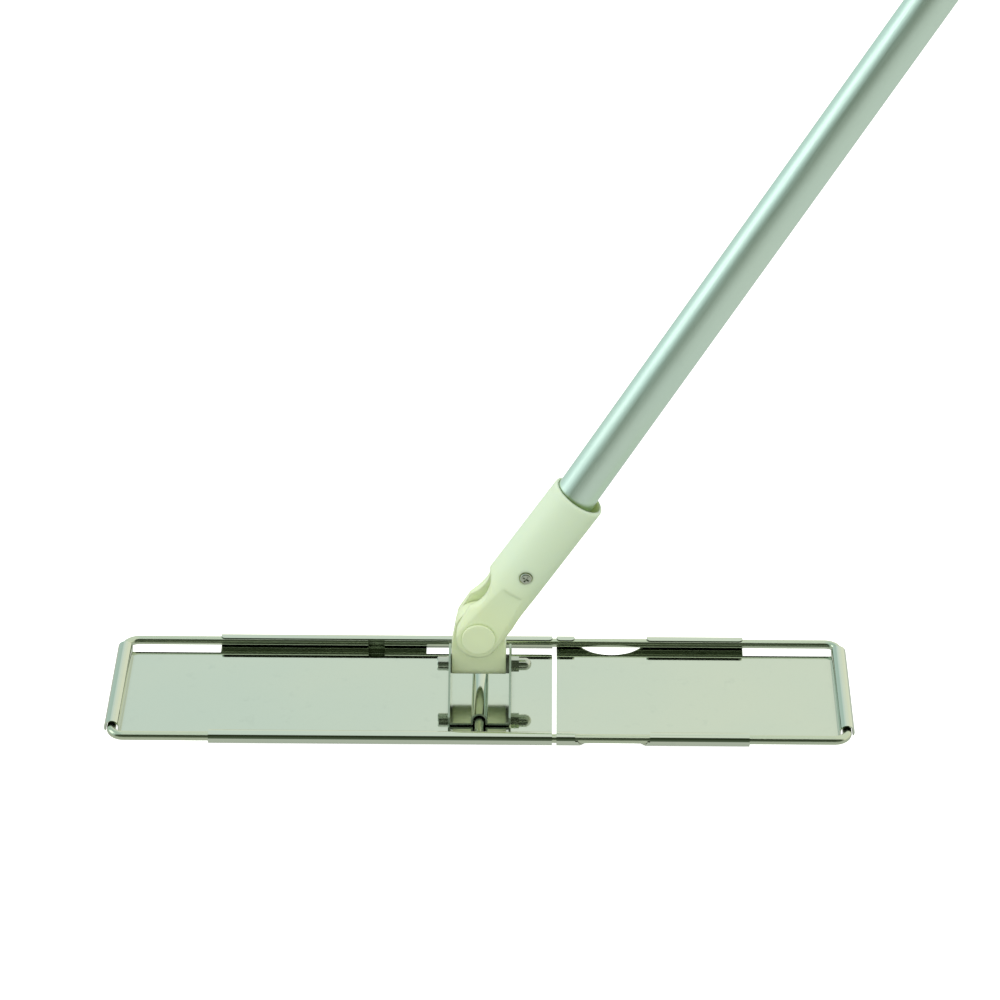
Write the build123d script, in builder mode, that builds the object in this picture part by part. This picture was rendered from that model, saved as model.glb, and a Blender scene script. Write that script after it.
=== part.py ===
"""Flat mop: two stainless plates on a wire frame, a folding nylon joint and a tube handle.

Millimetres, +X along the frame, +Y to the back, +Z up. The origin is the middle of the
frame's footprint, on the underside of the plates.
"""

import os
from math import asin, atan2, cos, degrees, hypot, radians, sin

from build123d import *

# ---- Wire frame -------------------------------------------------------------------------
rod_d = 5.4
end_rod_x = 219.3  # centre of the left and right end rods
side_rod_y = 55.0  # centre of the front and back side rods
corner_r = 8.0  # bend of the wire, to its centre line
left_leg_end_x = -70.0  # where the left wire stops inside its rolled edges
right_leg_end_x = -60.0  # where the right wire stops inside the left plate's edges

# ---- Plates -----------------------------------------------------------------------------
sheet = 0.8
side_fold_inset = 5.0  # from the side rod's centre in to the fold
bare_inset = 8.0  # from the side rod's centre in to the plate's edge, where it isn't rolled
end_fold_inset = 4.0  # from the end rod's centre in to the fold
side_roll_gap = 0.5  # between a side rod and the sheet rolled round it
end_roll_gap = 1.1  # between an end rod and the sheet over it
side_roll_end = 125.0  # where the rolled edge stops, degrees up from straight outwards
end_roll_end = -30.0  # where the end sleeve stops, past the top and down the outside
roll_start_x = 160.8  # rolled edges begin here, out from the middle
left_plate_end_x = 43.6
plate_gap = 2.6  # between the two plates
window_start_x = -34.0  # slot cut in the left plate's side strips
lip = 0.3  # strip left under the rod beside the window
tab_length = 11.1  # short roll of the right plate next to the gap
scallop_r = 24.5
scallop_x = 79.7
roll_again_x = 101.7  # start of the right plate's long roll, past the scallop
roll_corner_r = 2.3
plate_corner_r = 1.5

# ---- Bracket on the cross rod -------------------------------------------------------------
bracket_y = 2.5  # middle of the bracket, a little behind the frame's middle
bracket_length = 77.0
bracket_sheet = 1.2
ear_gap = 35.2  # between the two ears
ear_top_r = 12.2
ear_foot = 4.0  # height of the ears at their two ends, over the bracket's floor
ridge_gap = 1.1  # between the cross rod and the ridge over it
weld_spigot_d = 3.4
weld_spigot = 0.9  # thin end of the cross rod, out to the side rod
keeper_sheet = 0.5
keeper_gap = 0.2  # between the keeper and the rod over it
keeper_width = 24.0
keeper_margin = 5.0  # keeper's ends, in from the bracket's ends
slide_gap = 0.3  # between the left plate and what slides over it

# ---- Bolt through the ears ------------------------------------------------------------------
bolt_height = 20.2  # bolt axis over the plates' top face
bolt_d = 5.0
bolt_hole_gap = 0.15
bolt_head_d = 8.5
bolt_head_h = 5.8
bolt_socket_af = 4.0
bolt_socket_depth = 2.5
spring_washer_d = 8.8
spring_washer_t = 1.3
spacer_d = 7.0
thrust_washer_d = 11.4
thrust_left_t = 0.4
thrust_right_t = 1.9
nut_af = 8.0
nut_h = 4.6
nut_dome_d = 7.6
nut_neck = 3.7
nut_bore_depth = 8.0

# ---- Nylon joint --------------------------------------------------------------------------
running = 0.05  # radial clearance of a pin that turns in its bore
side_play = 0.1  # between the block and each thrust washer
pin_height = 26.7  # pin axis over the bolt axis
block_t = 12.0
block_shoulder = 15.0  # straight sides up to here, over the bolt axis
block_top_r = 14.2
block_corner_r = 2.0
fork_gap = 0.3  # between the block and each fork arm
pin_d = 12.0
pin_head_d = 20.0
pin_head_t = 2.0
pin_dome = 0.5
pin_core_d = 4.0
pin_core_depth = 18.0
core_head_d = 7.6
core_head_t = 1.6
cap_boss_d = 7.0
cap_boss = 6.0

# ---- Handle -------------------------------------------------------------------------------
handle_tilt = 33.5  # socket's lean from upright, towards +X
pole_lean = 1.9  # the pole leans back this much in its loose socket, about the screw
barrel_r = 16.6
barrel_top = 108.0  # rim over the pin axis
rim_round = 1.4
slot_top = 37.0  # root of the fork's slot over the pin axis
arm_face_y = 15.0  # flat outer faces of the fork
arm_end_r = 13.4
arm_waist_height = 24.0
left_waist = 11.0  # fork's middle to its waist, on the side away from the lean
left_waist_r = 20.0
right_waist = 14.0  # fork's middle to its shallow waist, on the side of the lean
right_waist_r = 60.0
knuckle_r = 18.8  # the fork's rounded corners, at the pin axis
neck_top = 42.0
bore_floor = 43.0
bore_floor_r = 13.1
bore_rim_r = 14.7
screw_height = 51.3
screw_d = 4.0
screw_head_d = 7.2
screw_head_h = 2.4
screw_sink = 1.2
screw_seat_gap = 0.5  # round the screw's head in its seat
screw_length = 11.0
screw_cross_w = 1.0
screw_cross_l = 4.2
screw_cross_depth = 1.1
pole_d = 25.0
pole_wall = 1.2
pole_foot = 44.0  # lower end of the pole over the pin axis
pole_length = 1200.0
cap_d = 27.0
cap_skirt = 28.0
cap_wall = 1.8
cap_plug = 20.0
hang_hole_d = 8.0
hang_hole_rise = 12.0  # hole's centre over the top of the pole
press_gap = 0.1  # between a plug and the tube it is pushed into

# ---- Worked out ---------------------------------------------------------------------------
rod_r = rod_d / 2
keeper_z = sheet + slide_gap
floor_z = keeper_z + keeper_sheet  # underside of the bracket's floor
rod_z = floor_z + keeper_gap + rod_r
side_roll_r = rod_r + side_roll_gap
end_roll_r = rod_r + end_roll_gap
side_fold_y = side_rod_y - side_fold_inset
bare_edge_y = side_rod_y - bare_inset
end_fold_x = end_rod_x - end_fold_inset
sleeve_y = side_rod_y - corner_r - 1.0
right_plate_start_x = left_plate_end_x + plate_gap
tab_end_x = right_plate_start_x + tab_length
scallop_y = bare_edge_y + scallop_r
ear_x = ear_gap / 2
ear_face_x = ear_x + bracket_sheet
ridge_r = rod_r + ridge_gap
bolt_z = sheet + bolt_height
bolt_bore_r = bolt_d / 2 + bolt_hole_gap
block_left_x = -ear_x + thrust_left_t + side_play
block_right_x = ear_x - thrust_right_t - side_play
block_half_x = (block_right_x - block_left_x) / 2
joint_x = (block_right_x + block_left_x) / 2
pin_z = bolt_z + pin_height
fork_slot = block_t + 2 * fork_gap
pole_r = pole_d / 2

bolt_axis = Plane(origin=(0, bracket_y, bolt_z), x_dir=(0, 1, 0), z_dir=(1, 0, 0))
joint_front = Plane(origin=(joint_x, bracket_y, 0), x_dir=(1, 0, 0), z_dir=(0, -1, 0))
handle_pose = Location((joint_x, bracket_y, pin_z), (0, handle_tilt, 0))
pole_pose = handle_pose * Location((0, 0, screw_height), (0, -pole_lean, 0))

os.makedirs("parts", exist_ok=True)


def save(part, name):
    """Label a finished sub-part and write its STEP file."""
    part.label = name
    export_step(part, f"parts/{name}.step")


def flange_slope(inset, reach, side):
    """Slope of a strip that leaves the plate's middle at a fold and just meets the roll."""
    rise = rod_z - sheet / 2
    return degrees(atan2(rise, inset) + side * asin(reach / hypot(inset, rise)))


def rolled_outline(rod_at, inset, inner_r, start, stop):
    """Section of a strip from its fold to the rod, and the roll round the rod."""
    normal = Vector(cos(radians(start)), sin(radians(start)))
    fold = Vector(rod_at - inset, sheet / 2)
    with BuildLine() as roll:
        outer = CenterArc((rod_at, rod_z), inner_r + sheet, start, stop - start)
        inner = CenterArc((rod_at, rod_z), inner_r, start, stop - start)
        Line(outer @ 0, inner @ 0)
        Line(outer @ 1, inner @ 1)
    make_face(roll.line)
    with BuildLine() as strip:
        outside = fold + normal * sheet / 2
        inside = fold - normal * sheet / 2
        Polyline(outer @ 0, outside, inside, inner @ 0, close=True)
    make_face(strip.line)
    with Locations((fold.X, fold.Y)):
        Circle(sheet / 2)


def side_roll(x_start, x_stop):
    """Rolled back edge of a plate between two places along the frame."""
    reach = side_roll_r + sheet / 2
    start = flange_slope(side_fold_inset, reach, -1) - 90
    with BuildSketch(Plane.YZ.offset(x_start)) as section:
        rolled_outline(side_rod_y, side_fold_inset, side_roll_r, start, side_roll_end)
        with Locations((bare_edge_y, 0)):
            Rectangle(side_fold_y - bare_edge_y, sheet, align=(Align.MIN, Align.MIN))
    extrude(section.sketch, amount=x_stop - x_start)


def end_sleeve():
    """Sheet that climbs over the end rod, drawn at the +X end."""
    reach = end_roll_r + sheet / 2
    start = flange_slope(end_fold_inset, reach, 1) + 90
    with BuildSketch(Plane.XZ) as section:
        rolled_outline(end_rod_x, end_fold_inset, end_roll_r, start, end_roll_end)
    extrude(section.sketch, amount=sleeve_y, both=True)


def flat_sheet(x_start, x_stop):
    """Flat middle of a plate, between its folds."""
    with BuildSketch() as flat:
        with Locations(((x_start + x_stop) / 2, 0)):
            Rectangle(x_stop - x_start, 2 * bare_edge_y)
    extrude(flat.sketch, amount=sheet)


def free_corners(part):
    """Short edges at the corners of the rolled edges' free ends, over the rod."""
    high = part.edges().filter_by(lambda e: abs(e.length - sheet) < 0.01)
    return high.filter_by(lambda e: e.center().Z > rod_z + side_roll_r / 2)


# ---- Plates -----------------------------------------------------------------------------
with BuildPart() as left_plate:
    end_sleeve()
    mirror(about=Plane.YZ, mode=Mode.REPLACE)
    flat_sheet(-end_fold_x, left_plate_end_x)
    gap_corners = left_plate.edges().filter_by(Axis.Z).group_by(Axis.X)[-1]
    fillet(gap_corners, plate_corner_r)
    side_roll(-roll_start_x, left_plate_end_x)
    window = left_plate_end_x - window_start_x
    with Locations((left_plate_end_x, bare_edge_y, 0)):
        Box(
            2 * window,
            bare_inset - lip,
            2 * rod_z,
            align=(Align.CENTER, Align.MIN, Align.CENTER),
            mode=Mode.SUBTRACT,
        )
    fillet(free_corners(left_plate), roll_corner_r)
    mirror(about=Plane.XZ)
save(left_plate.part, "left_plate")

with BuildPart() as right_plate:
    end_sleeve()
    flat_sheet(right_plate_start_x, end_fold_x)
    gap_corners = right_plate.edges().filter_by(Axis.Z).group_by(Axis.X)[0]
    fillet(gap_corners, plate_corner_r)
    side_roll(right_plate_start_x, roll_start_x)
    with Locations((scallop_x, scallop_y, 0)):
        Cylinder(scallop_r, 4 * rod_z, mode=Mode.SUBTRACT)
    with Locations((tab_end_x, side_rod_y, rod_z)):
        Box(
            roll_again_x - tab_end_x,
            4 * side_roll_r,
            4 * side_roll_r,
            align=(Align.MIN, Align.CENTER, Align.MIN),
            mode=Mode.SUBTRACT,
        )
    fillet(free_corners(right_plate), roll_corner_r)
    mirror(about=Plane.XZ)
save(right_plate.part, "right_plate")


# ---- Wires ------------------------------------------------------------------------------
def bent_wire(leg_end_x, end_x):
    """U of rod, bent at two corners, with its legs along the frame."""
    with BuildLine() as route:
        FilletPolyline(
            (leg_end_x, -side_rod_y, rod_z),
            (end_x, -side_rod_y, rod_z),
            (end_x, side_rod_y, rod_z),
            (leg_end_x, side_rod_y, rod_z),
            radius=corner_r,
        )
    with BuildSketch(Plane(origin=route.line @ 0, z_dir=route.line % 0)) as bar:
        Circle(rod_r)
    sweep(bar.sketch, path=route.line)


with BuildPart() as left_frame_wire:
    bent_wire(left_leg_end_x, -end_rod_x)
save(left_frame_wire.part, "left_frame_wire")

with BuildPart() as right_frame_wire:
    bent_wire(right_leg_end_x, end_rod_x)
save(right_frame_wire.part, "right_frame_wire")

with BuildPart() as cross_rod:
    rod_reach = side_rod_y - rod_r
    with BuildSketch(Plane.XZ) as bar_section:
        with Locations((0, rod_z)):
            Circle(rod_r)
    extrude(amount=rod_reach - weld_spigot, both=True)
    with BuildSketch(Plane.XZ) as spigot_section:
        with Locations((0, rod_z)):
            Circle(weld_spigot_d / 2)
    extrude(amount=rod_reach, both=True)
save(cross_rod.part, "cross_rod")

# ---- Bracket ----------------------------------------------------------------------------
with BuildPart() as saddle_bracket:
    with BuildSketch(Plane.XZ.offset(-bracket_y)) as floor_section:
        with Locations((0, floor_z)):
            Rectangle(2 * ear_face_x, bracket_sheet, align=(Align.CENTER, Align.MIN))
        with Locations((0, rod_z)):
            Circle(ridge_r + bracket_sheet)
        with Locations((0, floor_z)):
            Rectangle(
                2 * ear_face_x,
                2 * ridge_r,
                align=(Align.CENTER, Align.MAX),
                mode=Mode.SUBTRACT,
            )
        with Locations((0, rod_z)):
            Circle(ridge_r, mode=Mode.SUBTRACT)
            Rectangle(
                2 * ridge_r,
                2 * ridge_r,
                align=(Align.CENTER, Align.MAX),
                mode=Mode.SUBTRACT,
            )
    extrude(amount=bracket_length / 2, both=True)
    with BuildSketch(Plane.YZ.offset(ear_x)) as ear_outline:
        with Locations((bracket_y, bolt_z)):
            Circle(ear_top_r)
        with Locations((bracket_y, floor_z)):
            Rectangle(
                bracket_length,
                bracket_sheet + ear_foot,
                align=(Align.CENTER, Align.MIN),
            )
        make_hull()
        with Locations((bracket_y, bolt_z)):
            Circle(bolt_bore_r, mode=Mode.SUBTRACT)
    extrude(amount=bracket_sheet)
    mirror(about=Plane.YZ)
    bends = saddle_bracket.edges().filter_by(Axis.Y).group_by(Axis.Z)[0]
    fillet(bends.filter_by(lambda e: abs(e.center().X) > ear_x), bracket_sheet * 0.9)
save(saddle_bracket.part, "saddle_bracket")

with BuildPart() as rod_keeper:
    with Locations((0, bracket_y, keeper_z)):
        Box(
            keeper_width,
            bracket_length - 2 * keeper_margin,
            keeper_sheet,
            align=(Align.CENTER, Align.CENTER, Align.MIN),
        )
    fillet(rod_keeper.edges().filter_by(Axis.Z), 3)
save(rod_keeper.part, "rod_keeper")


# ---- Bolt, its nut and washers ------------------------------------------------------------
def ring(x_start, thickness, outer_d, hole_r):
    """Flat ring on the bolt's axis."""
    with BuildSketch(bolt_axis.offset(x_start)) as face:
        Circle(outer_d / 2)
        Circle(hole_r, mode=Mode.SUBTRACT)
    extrude(face.sketch, amount=thickness)


head_x = -ear_face_x - spring_washer_t
nut_dome_r = nut_dome_d / 2
nut_length = nut_h + nut_neck + nut_dome_r

with BuildPart() as bracket_bolt:
    with BuildSketch(bolt_axis.offset(head_x - bolt_head_h)) as head_face:
        Circle(bolt_head_d / 2)
    extrude(amount=bolt_head_h)
    chamfer(bracket_bolt.edges().sort_by(Axis.X)[0], 0.5)
    with BuildSketch(bolt_axis.offset(head_x)) as shank_face:
        Circle(bolt_d / 2)
    extrude(amount=ear_face_x - head_x + nut_bore_depth - 1)
    with BuildSketch(bolt_axis.offset(head_x - bolt_head_h)) as hex_face:
        RegularPolygon(bolt_socket_af / 2, 6, major_radius=False)
    extrude(amount=bolt_socket_depth, mode=Mode.SUBTRACT)
save(bracket_bolt.part, "bracket_bolt")

with BuildPart() as spring_washer:
    ring(head_x, spring_washer_t, spring_washer_d, bolt_bore_r)
save(spring_washer.part, "spring_washer")

with BuildPart() as cap_nut:
    with BuildSketch(bolt_axis.offset(ear_face_x)) as nut_face:
        RegularPolygon(nut_af / 2, 6, major_radius=False)
    extrude(amount=nut_h)
    with BuildSketch(Plane.XZ.offset(-bracket_y)) as dome_profile:
        with BuildLine() as dome_line:
            neck_end = (ear_face_x + nut_h + nut_neck, bolt_z + nut_dome_r)
            tip = (ear_face_x + nut_length, bolt_z)
            Polyline(tip, (ear_face_x, bolt_z), (ear_face_x, bolt_z + nut_dome_r), neck_end)
            RadiusArc(neck_end, tip, nut_dome_r)
        make_face()
    revolve(axis=Axis((0, bracket_y, bolt_z), (1, 0, 0)))
    with BuildSketch(bolt_axis.offset(ear_face_x)) as thread_face:
        Circle(bolt_bore_r)
    extrude(amount=nut_bore_depth, mode=Mode.SUBTRACT)
save(cap_nut.part, "cap_nut")

with BuildPart() as bolt_spacer:
    ring(-ear_x, ear_gap, spacer_d, bolt_bore_r)
save(bolt_spacer.part, "bolt_spacer")

with BuildPart() as thrust_washer_left:
    ring(-ear_x, thrust_left_t, thrust_washer_d, spacer_d / 2 + running)
save(thrust_washer_left.part, "thrust_washer_left")

with BuildPart() as thrust_washer_right:
    ring(ear_x - thrust_right_t, thrust_right_t, thrust_washer_d, spacer_d / 2 + running)
save(thrust_washer_right.part, "thrust_washer_right")

# ---- Nylon block between the ears -----------------------------------------------------------
with BuildPart() as joint_block:
    with BuildSketch(joint_front) as block_outline:
        with Locations((0, pin_z)):
            Circle(block_top_r)
        with Locations((0, bolt_z + block_shoulder)):
            Rectangle(
                2 * block_half_x,
                block_shoulder + block_t / 2,
                align=(Align.CENTER, Align.MAX),
            )
        make_hull()
        low_corners = block_outline.vertices().group_by(Axis.Y)[0]
        fillet(low_corners, block_corner_r)
        with Locations((0, pin_z)):
            Circle(pin_d / 2 + running, mode=Mode.SUBTRACT)
    extrude(amount=block_t / 2, both=True)
    with BuildSketch(Plane.YZ.offset(joint_x)) as block_side:
        with Locations((bracket_y, bolt_z)):
            Circle(block_t / 2)
            Rectangle(
                block_t,
                pin_height + block_top_r,
                align=(Align.CENTER, Align.MIN),
            )
    extrude(amount=block_half_x, both=True, mode=Mode.INTERSECT)
    with BuildSketch(Plane.YZ) as spacer_bore:
        with Locations((bracket_y, bolt_z)):
            Circle(spacer_d / 2 + running)
    extrude(amount=ear_gap, both=True, mode=Mode.SUBTRACT)
save(joint_block.part, "joint_block")

# ---- Handle, drawn upright with the pin axis at the origin ------------------------------------
with BuildPart() as handle_socket:
    with BuildSketch(Plane.XZ) as fork_outline:
        Circle(arm_end_r)
        with Locations((0, neck_top)):
            Rectangle(2 * barrel_r, neck_top - slot_top, align=(Align.CENTER, Align.MAX))
        make_hull()
        with Locations((-left_waist - left_waist_r, arm_waist_height)):
            Circle(left_waist_r, mode=Mode.SUBTRACT)
        with Locations((right_waist + right_waist_r, arm_waist_height)):
            Circle(right_waist_r, mode=Mode.SUBTRACT)
    extrude(amount=arm_face_y, both=True)
    with BuildSketch(Plane.XY.offset(slot_top)) as barrel_start:
        Circle(barrel_r)
    extrude(amount=barrel_top - slot_top)
    with BuildSketch(Plane.XZ) as envelope:
        Polygon(
            (0, -knuckle_r),
            (knuckle_r, -knuckle_r),
            (knuckle_r, 0),
            (barrel_r, slot_top),
            (barrel_r, barrel_top),
            (0, barrel_top),
            align=None,
        )
    revolve(axis=Axis.Z, mode=Mode.INTERSECT)
    fillet(handle_socket.edges().group_by(Axis.Z)[-1], rim_round)
    with BuildSketch(Plane.YZ) as slot_outline:
        slot_r = fork_slot / 2
        with Locations((0, slot_top - slot_r)):
            Circle(slot_r)
            Rectangle(fork_slot, 2 * slot_top, align=(Align.CENTER, Align.MAX))
    extrude(amount=knuckle_r, both=True, mode=Mode.SUBTRACT)
    with BuildSketch(Plane.XZ) as pole_bore:
        Polygon(
            (0, bore_floor),
            (bore_floor_r, bore_floor),
            (bore_rim_r, barrel_top + 1),
            (0, barrel_top + 1),
            align=None,
        )
    revolve(axis=Axis.Z, mode=Mode.SUBTRACT)
    with BuildSketch(Plane.XZ) as pin_bore:
        Circle(pin_d / 2 + running)
    extrude(amount=knuckle_r, both=True, mode=Mode.SUBTRACT)
    with BuildSketch(Plane.XZ.offset(barrel_r - screw_sink)) as screw_seat:
        with Locations((0, screw_height)):
            Circle(screw_head_d / 2 + screw_seat_gap)
    extrude(amount=barrel_r, mode=Mode.SUBTRACT)
    with BuildSketch(Plane.XZ) as screw_way:
        with Locations((0, screw_height)):
            Circle(screw_d / 2 + press_gap)
    extrude(amount=barrel_r, mode=Mode.SUBTRACT)
save(handle_socket.part.moved(handle_pose), "handle_socket")

with BuildPart() as pivot_pin:
    with BuildSketch(Plane.XZ.offset(-arm_face_y)) as pin_section:
        Circle(pin_d / 2)
    extrude(amount=2 * arm_face_y)
    with BuildSketch(Plane.XZ.offset(arm_face_y)) as head_section:
        Circle(pin_head_d / 2)
    extrude(amount=pin_head_t)
    fillet(pivot_pin.edges().group_by(Axis.Y)[0], pin_dome)
    with BuildSketch(Plane.XZ.offset(-arm_face_y)) as boss_seat:
        Circle(cap_boss_d / 2 + press_gap)
    extrude(amount=cap_boss + press_gap, mode=Mode.SUBTRACT)
    with BuildSketch(Plane.XZ.offset(-arm_face_y)) as core_way:
        Circle(pin_core_d / 2 + press_gap)
    extrude(amount=pin_core_depth + press_gap, mode=Mode.SUBTRACT)
save(pivot_pin.part.moved(handle_pose), "pivot_pin")

with BuildPart() as pin_cap:
    with BuildSketch(Plane.XZ.offset(-arm_face_y)) as cap_section:
        Circle(pin_head_d / 2)
    extrude(amount=-pin_head_t)
    fillet(pin_cap.edges().group_by(Axis.Y)[-1], pin_dome)
    with BuildSketch(Plane.XZ.offset(-arm_face_y)) as boss_section:
        Circle(cap_boss_d / 2)
    extrude(amount=cap_boss)
    with BuildSketch(Plane.XZ.offset(-arm_face_y - pin_head_t)) as core_hole:
        Circle(pin_core_d / 2 + press_gap)
    extrude(amount=pin_head_t + cap_boss, mode=Mode.SUBTRACT)
    with BuildSketch(Plane.XZ.offset(-arm_face_y - pin_head_t)) as core_seat:
        Circle(core_head_d / 2 + press_gap)
    extrude(amount=core_head_t, mode=Mode.SUBTRACT)
save(pin_cap.part.moved(handle_pose), "pin_cap")

with BuildPart() as pin_screw:
    with BuildSketch(Plane.XZ.offset(-arm_face_y - pin_head_t)) as core_head:
        Circle(core_head_d / 2)
        Rectangle(screw_cross_l, screw_cross_w, mode=Mode.SUBTRACT)
        Rectangle(screw_cross_w, screw_cross_l, mode=Mode.SUBTRACT)
    extrude(amount=core_head_t)
    core_length = pin_core_depth + pin_head_t - screw_cross_depth
    with BuildSketch(Plane.XZ.offset(-arm_face_y - pin_head_t + screw_cross_depth)) as core:
        Circle(pin_core_d / 2)
    extrude(amount=core_length)
save(pin_screw.part.moved(handle_pose), "pin_screw")

with BuildPart() as socket_screw:
    with BuildSketch(Plane.XZ.offset(barrel_r - screw_sink)) as pan:
        with Locations((0, screw_height)):
            Circle(screw_head_d / 2)
    extrude(amount=screw_head_h)
    fillet(socket_screw.edges().group_by(Axis.Y)[0], 1.0)
    with BuildSketch(Plane.XZ.offset(barrel_r - screw_sink + screw_head_h)) as cross:
        with Locations((0, screw_height)):
            Rectangle(screw_cross_l, screw_cross_w)
            Rectangle(screw_cross_w, screw_cross_l)
    extrude(amount=-screw_cross_depth, mode=Mode.SUBTRACT)
    with BuildSketch(Plane.XZ.offset(barrel_r - screw_sink - screw_length)) as screw_shank:
        with Locations((0, screw_height)):
            Circle(screw_d / 2)
    extrude(amount=screw_length)
save(socket_screw.part.moved(handle_pose), "socket_screw")

# ---- Pole, drawn upright with the socket's screw at the origin --------------------------------
foot_z = pole_foot - screw_height
top_z = foot_z + pole_length

with BuildPart() as handle_pole:
    with BuildSketch(Plane.XY.offset(foot_z)) as tube_section:
        Circle(pole_r)
        Circle(pole_r - pole_wall, mode=Mode.SUBTRACT)
    extrude(amount=pole_length)
    with BuildSketch(Plane.XZ) as screw_hole:
        Circle(screw_d / 2 + press_gap)
    extrude(amount=pole_d, mode=Mode.SUBTRACT)
save(handle_pole.part.moved(pole_pose), "handle_pole")

with BuildPart() as pole_end_cap:
    with BuildSketch(Plane.XY.offset(top_z - cap_skirt)) as skirt:
        Circle(cap_d / 2)
    extrude(amount=cap_skirt + hang_hole_rise)
    with Locations((0, 0, top_z + hang_hole_rise)):
        Sphere(cap_d / 2)
    with BuildSketch(Plane.XY.offset(top_z - cap_skirt)) as pole_seat:
        Circle(pole_r + press_gap)
    extrude(amount=cap_skirt, mode=Mode.SUBTRACT)
    with BuildSketch(Plane.XZ) as hang_hole:
        with Locations((0, top_z + hang_hole_rise)):
            Circle(hang_hole_d / 2)
    extrude(amount=cap_d, both=True, mode=Mode.SUBTRACT)
    with BuildSketch(Plane.XY.offset(top_z - cap_plug)) as plug:
        Circle(pole_r - pole_wall - press_gap)
        Circle(pole_r - pole_wall - press_gap - cap_wall, mode=Mode.SUBTRACT)
    extrude(amount=cap_plug)
save(pole_end_cap.part.moved(pole_pose), "pole_end_cap")
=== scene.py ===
"""Looks of the flat mop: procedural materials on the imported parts, studio and camera.

Everything is in metres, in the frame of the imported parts.
"""

from math import pi, radians

import bpy
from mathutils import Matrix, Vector


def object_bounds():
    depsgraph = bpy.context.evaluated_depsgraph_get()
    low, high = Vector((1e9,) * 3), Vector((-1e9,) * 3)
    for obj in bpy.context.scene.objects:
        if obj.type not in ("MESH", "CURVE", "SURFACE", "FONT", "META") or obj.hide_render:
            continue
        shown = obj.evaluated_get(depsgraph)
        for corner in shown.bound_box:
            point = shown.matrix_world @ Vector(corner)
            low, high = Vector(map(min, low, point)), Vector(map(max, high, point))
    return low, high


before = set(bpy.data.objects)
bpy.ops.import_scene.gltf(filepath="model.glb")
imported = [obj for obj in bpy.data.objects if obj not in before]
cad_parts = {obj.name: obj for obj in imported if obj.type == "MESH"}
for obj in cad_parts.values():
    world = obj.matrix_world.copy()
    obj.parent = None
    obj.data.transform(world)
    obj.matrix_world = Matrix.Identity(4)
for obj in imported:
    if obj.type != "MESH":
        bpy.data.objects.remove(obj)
cad_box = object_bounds()

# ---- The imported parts' own directions and places ----------------------------------------------
POLE_LEAN = 31.6  # degrees from upright, towards +X
SOCKET_LEAN = 33.5
BARREL_TONE = (0.055, 0.095)  # the socket's paler tone comes in between these, along its lean
EAR_RIM_Z = (0.012, 0.0125)  # the ears' sawn rim starts here, over all else of the bracket
ENDS_FACE = (0.25, 0.4)  # share of a normal along Y from which a face counts as a sawn end
CHEEKS_FACE = (0.4, 0.6)  # share of a normal along X from which a face is an ear's flat cheek


# ---- Node helpers ---------------------------------------------------------------------------
def new_material(name):
    """An empty node material with its Principled shader."""
    material = bpy.data.materials.new(name)
    material.use_nodes = True
    tree = material.node_tree
    return material, tree, tree.nodes["Principled BSDF"]


def place(tree, lean=0.0, stretch=(1, 1, 1)):
    """Coordinates that ride on the part, turned by a lean about Y and stretched."""
    coordinates = tree.nodes.new("ShaderNodeTexCoord")
    turn = tree.nodes.new("ShaderNodeMapping")
    turn.vector_type = "TEXTURE"
    turn.inputs["Rotation"].default_value = (0, radians(lean), 0)
    scale = tree.nodes.new("ShaderNodeMapping")
    scale.inputs["Scale"].default_value = stretch
    tree.links.new(coordinates.outputs["Object"], turn.inputs["Vector"])
    tree.links.new(turn.outputs["Vector"], scale.inputs["Vector"])
    return scale.outputs["Vector"]


def noise(tree, vector, size, detail=3.0, rough=0.5):
    """Soft noise whose blotches are about size metres across."""
    node = tree.nodes.new("ShaderNodeTexNoise")
    node.inputs["Scale"].default_value = 1 / size
    node.inputs["Detail"].default_value = detail
    node.inputs["Roughness"].default_value = rough
    tree.links.new(vector, node.inputs["Vector"])
    return node.outputs["Fac"]


def remap(tree, value, low, high, to_low, to_high):
    """Value moved from one range to another, clamped."""
    node = tree.nodes.new("ShaderNodeMapRange")
    tree.links.new(value, node.inputs["Value"])
    node.inputs["From Min"].default_value = low
    node.inputs["From Max"].default_value = high
    node.inputs["To Min"].default_value = to_low
    node.inputs["To Max"].default_value = to_high
    return node.outputs["Result"]


def blend_colours(tree, factor, first, second):
    """Colour between two, by a factor. Each colour is a tuple or a socket."""
    node = tree.nodes.new("ShaderNodeMix")
    node.data_type = "RGBA"
    tree.links.new(factor, node.inputs["Factor"])
    for socket, colour in (("A", first), ("B", second)):
        target = [i for i in node.inputs if i.name == socket and i.type == "RGBA"][0]
        if isinstance(colour, tuple):
            target.default_value = (*colour, 1)
        else:
            tree.links.new(colour, target)
    return [o for o in node.outputs if o.type == "RGBA"][0]


def bump(tree, height, distance, strength, under=None):
    """Bump whose full height is distance metres, over another bump if one is given."""
    node = tree.nodes.new("ShaderNodeBump")
    node.inputs["Distance"].default_value = distance
    node.inputs["Strength"].default_value = strength
    tree.links.new(height, node.inputs["Height"])
    if under is not None:
        tree.links.new(under, node.inputs["Normal"])
    return node.outputs["Normal"]


def combine(tree, operation, first, second):
    """Two values put together by a Math node. Each is a number or a socket."""
    node = tree.nodes.new("ShaderNodeMath")
    node.operation = operation
    for target, value in zip(node.inputs, (first, second)):
        if isinstance(value, (int, float)):
            target.default_value = value
        else:
            tree.links.new(value, target)
    return node.outputs["Value"]


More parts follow.
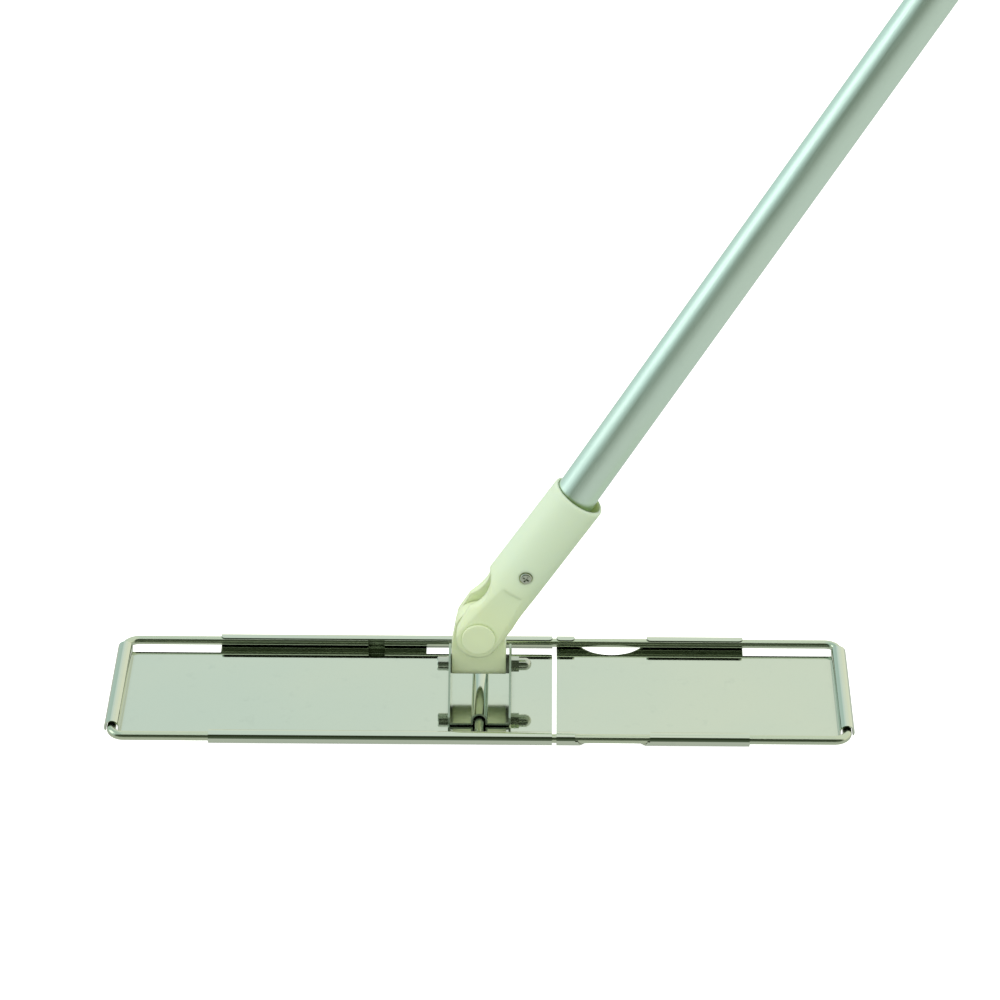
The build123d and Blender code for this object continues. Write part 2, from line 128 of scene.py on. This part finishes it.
def cut_edges(tree):
    """Factor that is 1 on the bracket's sawn edges: its ends and the outline of its ears.

    Ends face front or back, and an ear's outline is any face there that isn't sideways.
    """
    coordinates = tree.nodes.new("ShaderNodeTexCoord")
    normal = tree.nodes.new("ShaderNodeSeparateXYZ")
    tree.links.new(coordinates.outputs["Normal"], normal.inputs["Vector"])
    spot = tree.nodes.new("ShaderNodeSeparateXYZ")
    tree.links.new(coordinates.outputs["Object"], spot.inputs["Vector"])
    along = combine(tree, "ABSOLUTE", normal.outputs["Y"], 0)
    sideways = combine(tree, "ABSOLUTE", normal.outputs["X"], 0)
    ends = remap(tree, along, *ENDS_FACE, 0, 1)
    high = remap(tree, spot.outputs["Z"], *EAR_RIM_Z, 0, 1)
    outline = remap(tree, sideways, *CHEEKS_FACE, 1, 0)
    rim = combine(tree, "MULTIPLY", high, outline)
    return combine(tree, "MAXIMUM", ends, rim)


# ---- Materials ------------------------------------------------------------------------------
# Sizes of the surface detail, in metres across
DRAWN_LINES = 0.0009
METAL_CLOUDS = 0.09
METAL_SCUFFS = 0.012
MOULD_GRAIN = 0.0006
MOULD_CLOUDS = 0.03

# Noise values between which a detail goes from none to full
CLOUD_RANGE = (0.35, 0.65)
LINE_RANGE = (0.3, 0.7)
SCUFF_RANGE = (0.58, 0.72)

# Openness between which a hollow goes from full shade to none, and how far the shade reaches
ROLL_SHADE = (0.1, 0.6)
ROLL_SHADE_REACH = 0.006
HOLLOW_SHADE = (0.15, 0.75)
HOLLOW_SHADE_REACH = 0.012

SCUFF_STRENGTH = 0.6
SCUFF_TONE = 0.93  # a scuff's brightness, as a share of the metal's own
LINE_STRENGTH = 0.35
SAWN_ROUGHNESS = 0.45
NYLON_IOR = 1.52
NYLON_SCATTER = 0.004  # reach of light inside the plastic
LIT_TONE = 1.02
MOULD_GRAIN_HEIGHT = 0.00006
MOULD_GRAIN_STRENGTH = 0.3
SMALL_EDGE = 0.0012  # radius of a moulded edge
SOCKET_EDGE = 0.003


def metal(name, colour, tinge, roughness, grain, relief, lean=0.0, sawn=None, painted_roll_shade=None):
    """Metal with slow colour changes, a grain along one direction and faint scuffs.

    colour and tinge are its two tones, roughness is (least, most), grain is the stretch of
    the fine lines, relief is their height in metres, sawn is the colour of cut edges, and
    the roll colour, if given, is painted shade: a dark colour laid into rolled edges where ambient
    occlusion finds them closed in.
    """
    material, tree, shader = new_material(name)
    shader.inputs["Metallic"].default_value = 1.0
    even = place(tree, lean)
    lines = noise(tree, place(tree, lean, grain), DRAWN_LINES, 4.0, 0.6)
    clouds = noise(tree, even, METAL_CLOUDS, 2.0)
    scuffs = noise(tree, even, METAL_SCUFFS, 6.0, 0.7)
    tone = blend_colours(tree, remap(tree, clouds, *CLOUD_RANGE, 0, 1), colour, tinge)
    worn = tuple(SCUFF_TONE * c for c in colour)
    scuffed = remap(tree, scuffs, *SCUFF_RANGE, 0, SCUFF_STRENGTH)
    tone = blend_colours(tree, scuffed, tone, worn)
    gloss = remap(tree, lines, *LINE_RANGE, *roughness)
    # Painted shade: rolled edges get a dark colour where ambient occlusion finds them closed in.
    if painted_roll_shade:
        shade = tree.nodes.new("ShaderNodeAmbientOcclusion")
        shade.samples = 8
        shade.inputs["Distance"].default_value = ROLL_SHADE_REACH
        inside = remap(tree, shade.outputs["AO"], *ROLL_SHADE, 1, 0)
        tone = blend_colours(tree, inside, tone, painted_roll_shade)
    if sawn:
        edges = cut_edges(tree)
        tone = blend_colours(tree, edges, tone, sawn)
        gloss = combine(tree, "MAXIMUM", gloss, remap(tree, edges, 0, 1, 0, SAWN_ROUGHNESS))
    tree.links.new(tone, shader.inputs["Base Color"])
    tree.links.new(gloss, shader.inputs["Roughness"])
    normal = bump(tree, lines, relief, LINE_STRENGTH)
    tree.links.new(normal, shader.inputs["Normal"])
    return material


def plastic(name, colour, painted_hollow_shade, roughness, glow, lean=0.0, edge=SMALL_EDGE, upper=None):
    """Moulded plastic: fine grain, slow tone changes, soft edges, and painted shade in hollows: a
    darker, richer colour.

    The hollow colour is painted shade, laid where ambient occlusion finds hollows; roughness is
    (least, most), and glow is how much light
    goes into the plastic. upper is (colour, start, stop): a second tone that comes in along
    the leaning axis.
    """
    material, tree, shader = new_material(name)
    even = place(tree, lean)
    grain = noise(tree, even, MOULD_GRAIN, 3.0, 0.6)
    clouds = noise(tree, even, MOULD_CLOUDS, 2.0)
    # Painted shade: hollows get a darker, richer colour where ambient occlusion finds them.
    shade = tree.nodes.new("ShaderNodeAmbientOcclusion")
    shade.inputs["Distance"].default_value = HOLLOW_SHADE_REACH
    hollow = remap(tree, shade.outputs["AO"], *HOLLOW_SHADE, 1, 0)
    lit = tuple(min(1.0, LIT_TONE * c) for c in colour)
    tone = blend_colours(tree, remap(tree, clouds, *CLOUD_RANGE, 0, 1), colour, lit)
    if upper:
        spot = tree.nodes.new("ShaderNodeSeparateXYZ")
        tree.links.new(even, spot.inputs["Vector"])
        climb = remap(tree, spot.outputs["Z"], upper[1], upper[2], 0, 1)
        tone = blend_colours(tree, climb, tone, upper[0])
    tone = blend_colours(tree, hollow, tone, painted_hollow_shade)
    tree.links.new(tone, shader.inputs["Base Color"])
    gloss = remap(tree, grain, *LINE_RANGE, *roughness)
    tree.links.new(gloss, shader.inputs["Roughness"])
    shader.inputs["IOR"].default_value = NYLON_IOR
    shader.inputs["Subsurface Weight"].default_value = glow
    shader.inputs["Subsurface Radius"].default_value = (1.0, 0.9, 0.6)
    shader.inputs["Subsurface Scale"].default_value = NYLON_SCATTER
    edges = tree.nodes.new("ShaderNodeBevel")
    edges.samples = 6
    edges.inputs["Radius"].default_value = edge
    softened = edges.outputs["Normal"]
    normal = bump(tree, grain, MOULD_GRAIN_HEIGHT, MOULD_GRAIN_STRENGTH, under=softened)
    tree.links.new(normal, shader.inputs["Normal"])
    return material


# Reach along each axis of the fine lines, where a small number draws them out
ALONG_X_FINE = (0.02, 1, 1)
ALONG_X = (0.05, 1, 1)
ALONG_X_SHORT = (0.1, 1, 1)
ALONG_Y = (1, 0.04, 1)
ALONG_Z = (1, 1, 0.03)

NYLON_CREAM = (0.77, 0.85, 0.59)
NYLON_ROUGHNESS = (0.38, 0.52)

mirror_sheet = metal(
    "mirror_sheet",
    colour=(0.61, 0.66, 0.57),
    tinge=(0.63, 0.67, 0.57),
    roughness=(0.04, 0.07),
    grain=ALONG_X_FINE,
    relief=0.0000005,
    # painted shade in the rolled edges, laid by ambient occlusion
    painted_roll_shade=(0.20, 0.22, 0.17),
)
drawn_rod = metal(
    "drawn_rod",
    colour=(0.56, 0.62, 0.50),
    tinge=(0.59, 0.63, 0.49),
    roughness=(0.14, 0.24),
    grain=ALONG_X,
    relief=0.000006,
)
folded_sheet = metal(
    "folded_sheet",
    colour=(0.60, 0.66, 0.57),
    tinge=(0.62, 0.66, 0.55),
    roughness=(0.08, 0.14),
    grain=ALONG_Y,
    relief=0.000006,
    sawn=(0.44, 0.52, 0.43),
)
turned_steel = metal(
    "turned_steel",
    colour=(0.50, 0.54, 0.48),
    tinge=(0.54, 0.55, 0.46),
    roughness=(0.16, 0.30),
    grain=ALONG_X_SHORT,
    relief=0.00001,
)
anodised_tube = metal(
    "anodised_tube",
    colour=(0.75, 0.89, 0.82),
    tinge=(0.76, 0.89, 0.81),
    roughness=(0.36, 0.46),
    grain=ALONG_Z,
    relief=0.00001,
    lean=POLE_LEAN,
)
cream_nylon = plastic(
    "cream_nylon",
    colour=NYLON_CREAM,
    # painted shade in hollows
    painted_hollow_shade=(0.64, 0.73, 0.38),
    roughness=NYLON_ROUGHNESS,
    glow=0.25,
    lean=SOCKET_LEAN,
)
socket_nylon = plastic(
    "socket_nylon",
    colour=NYLON_CREAM,
    # painted shade in hollows
    painted_hollow_shade=(0.62, 0.72, 0.34),
    roughness=NYLON_ROUGHNESS,
    glow=0.25,
    lean=SOCKET_LEAN,
    edge=SOCKET_EDGE,
    upper=((0.73, 0.84, 0.67), *BARREL_TONE),
)
washer_nylon = plastic(
    "washer_nylon",
    colour=(0.20, 0.22, 0.18),
    # painted shade in hollows
    painted_hollow_shade=(0.10, 0.11, 0.08),
    roughness=(0.4, 0.6),
    glow=0.0,
)
cap_plastic = plastic(
    "cap_plastic",
    colour=(0.76, 0.84, 0.70),
    # painted shade in hollows
    painted_hollow_shade=(0.60, 0.68, 0.46),
    roughness=(0.35, 0.5),
    glow=0.2,
    lean=POLE_LEAN,
)

FINISHES = {
    "left_plate": mirror_sheet,
    "right_plate": mirror_sheet,
    "left_frame_wire": drawn_rod,
    "right_frame_wire": drawn_rod,
    "cross_rod": drawn_rod,
    "saddle_bracket": folded_sheet,
    "rod_keeper": folded_sheet,
    "bracket_bolt": turned_steel,
    "spring_washer": turned_steel,
    "cap_nut": turned_steel,
    "bolt_spacer": turned_steel,
    "pin_screw": turned_steel,
    "socket_screw": turned_steel,
    "thrust_washer_left": washer_nylon,
    "thrust_washer_right": washer_nylon,
    "joint_block": cream_nylon,
    "handle_socket": socket_nylon,
    "pivot_pin": cream_nylon,
    "pin_cap": cream_nylon,
    "handle_pole": anodised_tube,
    "pole_end_cap": cap_plastic,
}

for name, finish in FINISHES.items():
    for material_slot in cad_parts[name].material_slots:
        material_slot.material = finish


# ---- Studio ---------------------------------------------------------------------------------
# Colours of the tent's parts, as radiance
TENT_LEFT = (0.81, 0.925, 0.905)
TENT_RIGHT = (0.94, 0.995, 0.90)
TENT_LOW = (1.0, 1.02, 0.86)
TENT_FAR_LEFT = (0.57, 0.73, 0.70)
TABLE = (0.60, 0.64, 0.58)
OPENING_LOW = (0.11, 0.145, 0.095)
OPENING_HIGH = (0.03, 0.042, 0.02)
SOFT_ABOVE = (0.95, 1.0, 0.92)
SOFT_BELOW = (0.62, 0.68, 0.52)
PAPER_WHITE = (1.0, 1.0, 1.0)

# Where one part gives way to the next: (from, to) along one axis of a unit direction
LEFT_TO_RIGHT_X = (-0.11, 0.08)
LOW_TENT_Z = (0.38, 0.44)
FAR_LEFT_X = (-0.3, -0.2)
TABLE_Z = (-0.16, -0.05)
OPENING_SHADE_Z = (0.0, 0.6)
OPENING_Y = (-0.56, -0.44)
OPENING_FOOT_Z = (-0.24, -0.14)
SOFT_Z = (-0.8, 0.6)

FLOOR_HALF = 12.0
FLOOR_GAP = 0.0002  # the floor lies this far under the plates
FLOOR_GLOW = 0.9
PAPER_CLOUDS = 0.4
PAPER_SHADES = (0.88, 0.92)


def studio_surroundings():
    """Bright tent with a dark opening on the camera's side and a greyer table below.

    Gloss sees the tent's pattern, matt surfaces get an even, softened light, and behind the
    object there is plain white paper.
    """
    world = bpy.data.worlds.new("studio")
    bpy.context.scene.world = world
    world.use_nodes = True
    tree = world.node_tree
    direction = tree.nodes.new("ShaderNodeTexCoord")
    parts = tree.nodes.new("ShaderNodeSeparateXYZ")
    tree.links.new(direction.outputs["Generated"], parts.inputs["Vector"])
    x, y, z = (parts.outputs[axis] for axis in "XYZ")
    tent = blend_colours(tree, remap(tree, x, *LEFT_TO_RIGHT_X, 0, 1), TENT_LEFT, TENT_RIGHT)
    tent = blend_colours(tree, remap(tree, z, *LOW_TENT_Z, 1, 0), tent, TENT_LOW)
    tent = blend_colours(tree, remap(tree, x, *FAR_LEFT_X, 1, 0), tent, TENT_FAR_LEFT)
    tent = blend_colours(tree, remap(tree, z, *TABLE_Z, 1, 0), tent, TABLE)
    dark = blend_colours(tree, remap(tree, z, *OPENING_SHADE_Z, 0, 1), OPENING_LOW, OPENING_HIGH)
    in_front = remap(tree, y, *OPENING_Y, 1, 0)
    above = remap(tree, z, *OPENING_FOOT_Z, 0, 1)
    within = combine(tree, "MULTIPLY", in_front, above)
    tent = blend_colours(tree, within, tent, dark)
    soft = blend_colours(tree, remap(tree, z, *SOFT_Z, 0, 1), SOFT_BELOW, SOFT_ABOVE)
    seen = tree.nodes.new("ShaderNodeLightPath")
    sky = blend_colours(tree, seen.outputs["Is Glossy Ray"], soft, tent)
    sky = blend_colours(tree, seen.outputs["Is Camera Ray"], sky, PAPER_WHITE)
    tree.links.new(sky, tree.nodes["Background"].inputs["Color"])


def pale_floor():
    """Wide white floor just under the plates."""
    mesh = bpy.data.meshes.new("floor")
    turns = ((-1, -1), (1, -1), (1, 1), (-1, 1))
    corners = [(x * FLOOR_HALF, y * FLOOR_HALF, 0) for x, y in turns]
    mesh.from_pydata(corners, [], [(0, 1, 2, 3)])
    floor = bpy.data.objects.new("floor", mesh)
    bpy.context.scene.collection.objects.link(floor)
    floor.location.z = cad_box[0].z - FLOOR_GAP
    material, tree, shader = new_material("floor_paper")
    clouds = noise(tree, place(tree), PAPER_CLOUDS)
    paper = remap(tree, clouds, *LINE_RANGE, *PAPER_SHADES)
    tree.links.new(paper, shader.inputs["Base Color"])
    shader.inputs["Roughness"].default_value = 1.0
    shader.inputs["Specular IOR Level"].default_value = 0.0
    shader.inputs["Emission Color"].default_value = (1, 1, 1, 1)
    shader.inputs["Emission Strength"].default_value = FLOOR_GLOW
    mesh.materials.append(material)
    floor.visible_glossy = False
    floor.visible_diffuse = False


def softbox(name, where, target, size, radiance, glossy=True):
    """Rectangular light of a given radiance that faces a target.

    With glossy off, reflections miss it.
    """
    light = bpy.data.lights.new(name, "AREA")
    light.shape = "RECTANGLE"
    light.size, light.size_y = size
    light.energy = radiance * pi * size[0] * size[1]
    lamp = bpy.data.objects.new(name, light)
    bpy.context.scene.collection.objects.link(lamp)
    lamp.location = where
    facing = Vector(target) - Vector(where)
    lamp.rotation_euler = facing.to_track_quat("-Z", "Y").to_euler()
    lamp.visible_glossy = glossy
    lamp.visible_camera = False


studio_surroundings()
pale_floor()
softbox(
    "key",
    where=(-1.8, 0.15, 0.9),
    target=(0.1, 0.0, 0.3),
    size=(1.1, 1.1),
    radiance=1.12,
)
softbox(
    "top",
    where=(-0.5, 0.2, 2.2),
    target=(0.0, 0.0, 0.1),
    size=(1.4, 1.0),
    radiance=1.4,
    glossy=False,
)

# ---- Camera ---------------------------------------------------------------------------------
CAMERA_PLACE = (0.0411, -2.1318, 1.3258)
CAMERA_TILT = 60.832  # degrees up from looking straight down
CAMERA_LEAN = 0.018
CAMERA_TURN = 0.772
LENS = 148.9  # millimetres, on a sensor SENSOR_WIDTH wide
SENSOR_WIDTH = 36.0
NEAREST = 0.05
FARTHEST = 60.0

camera_data = bpy.data.cameras.new("camera")
camera_data.lens = LENS
camera_data.sensor_width = SENSOR_WIDTH
camera_data.clip_start = NEAREST
camera_data.clip_end = FARTHEST
camera = bpy.data.objects.new("camera", camera_data)
bpy.context.scene.collection.objects.link(camera)
camera.location = CAMERA_PLACE
camera.rotation_euler = (radians(CAMERA_TILT), radians(CAMERA_LEAN), radians(CAMERA_TURN))
scene = bpy.context.scene
scene.camera = camera
scene.view_settings.view_transform = "Standard"
scene.view_settings.look = "None"
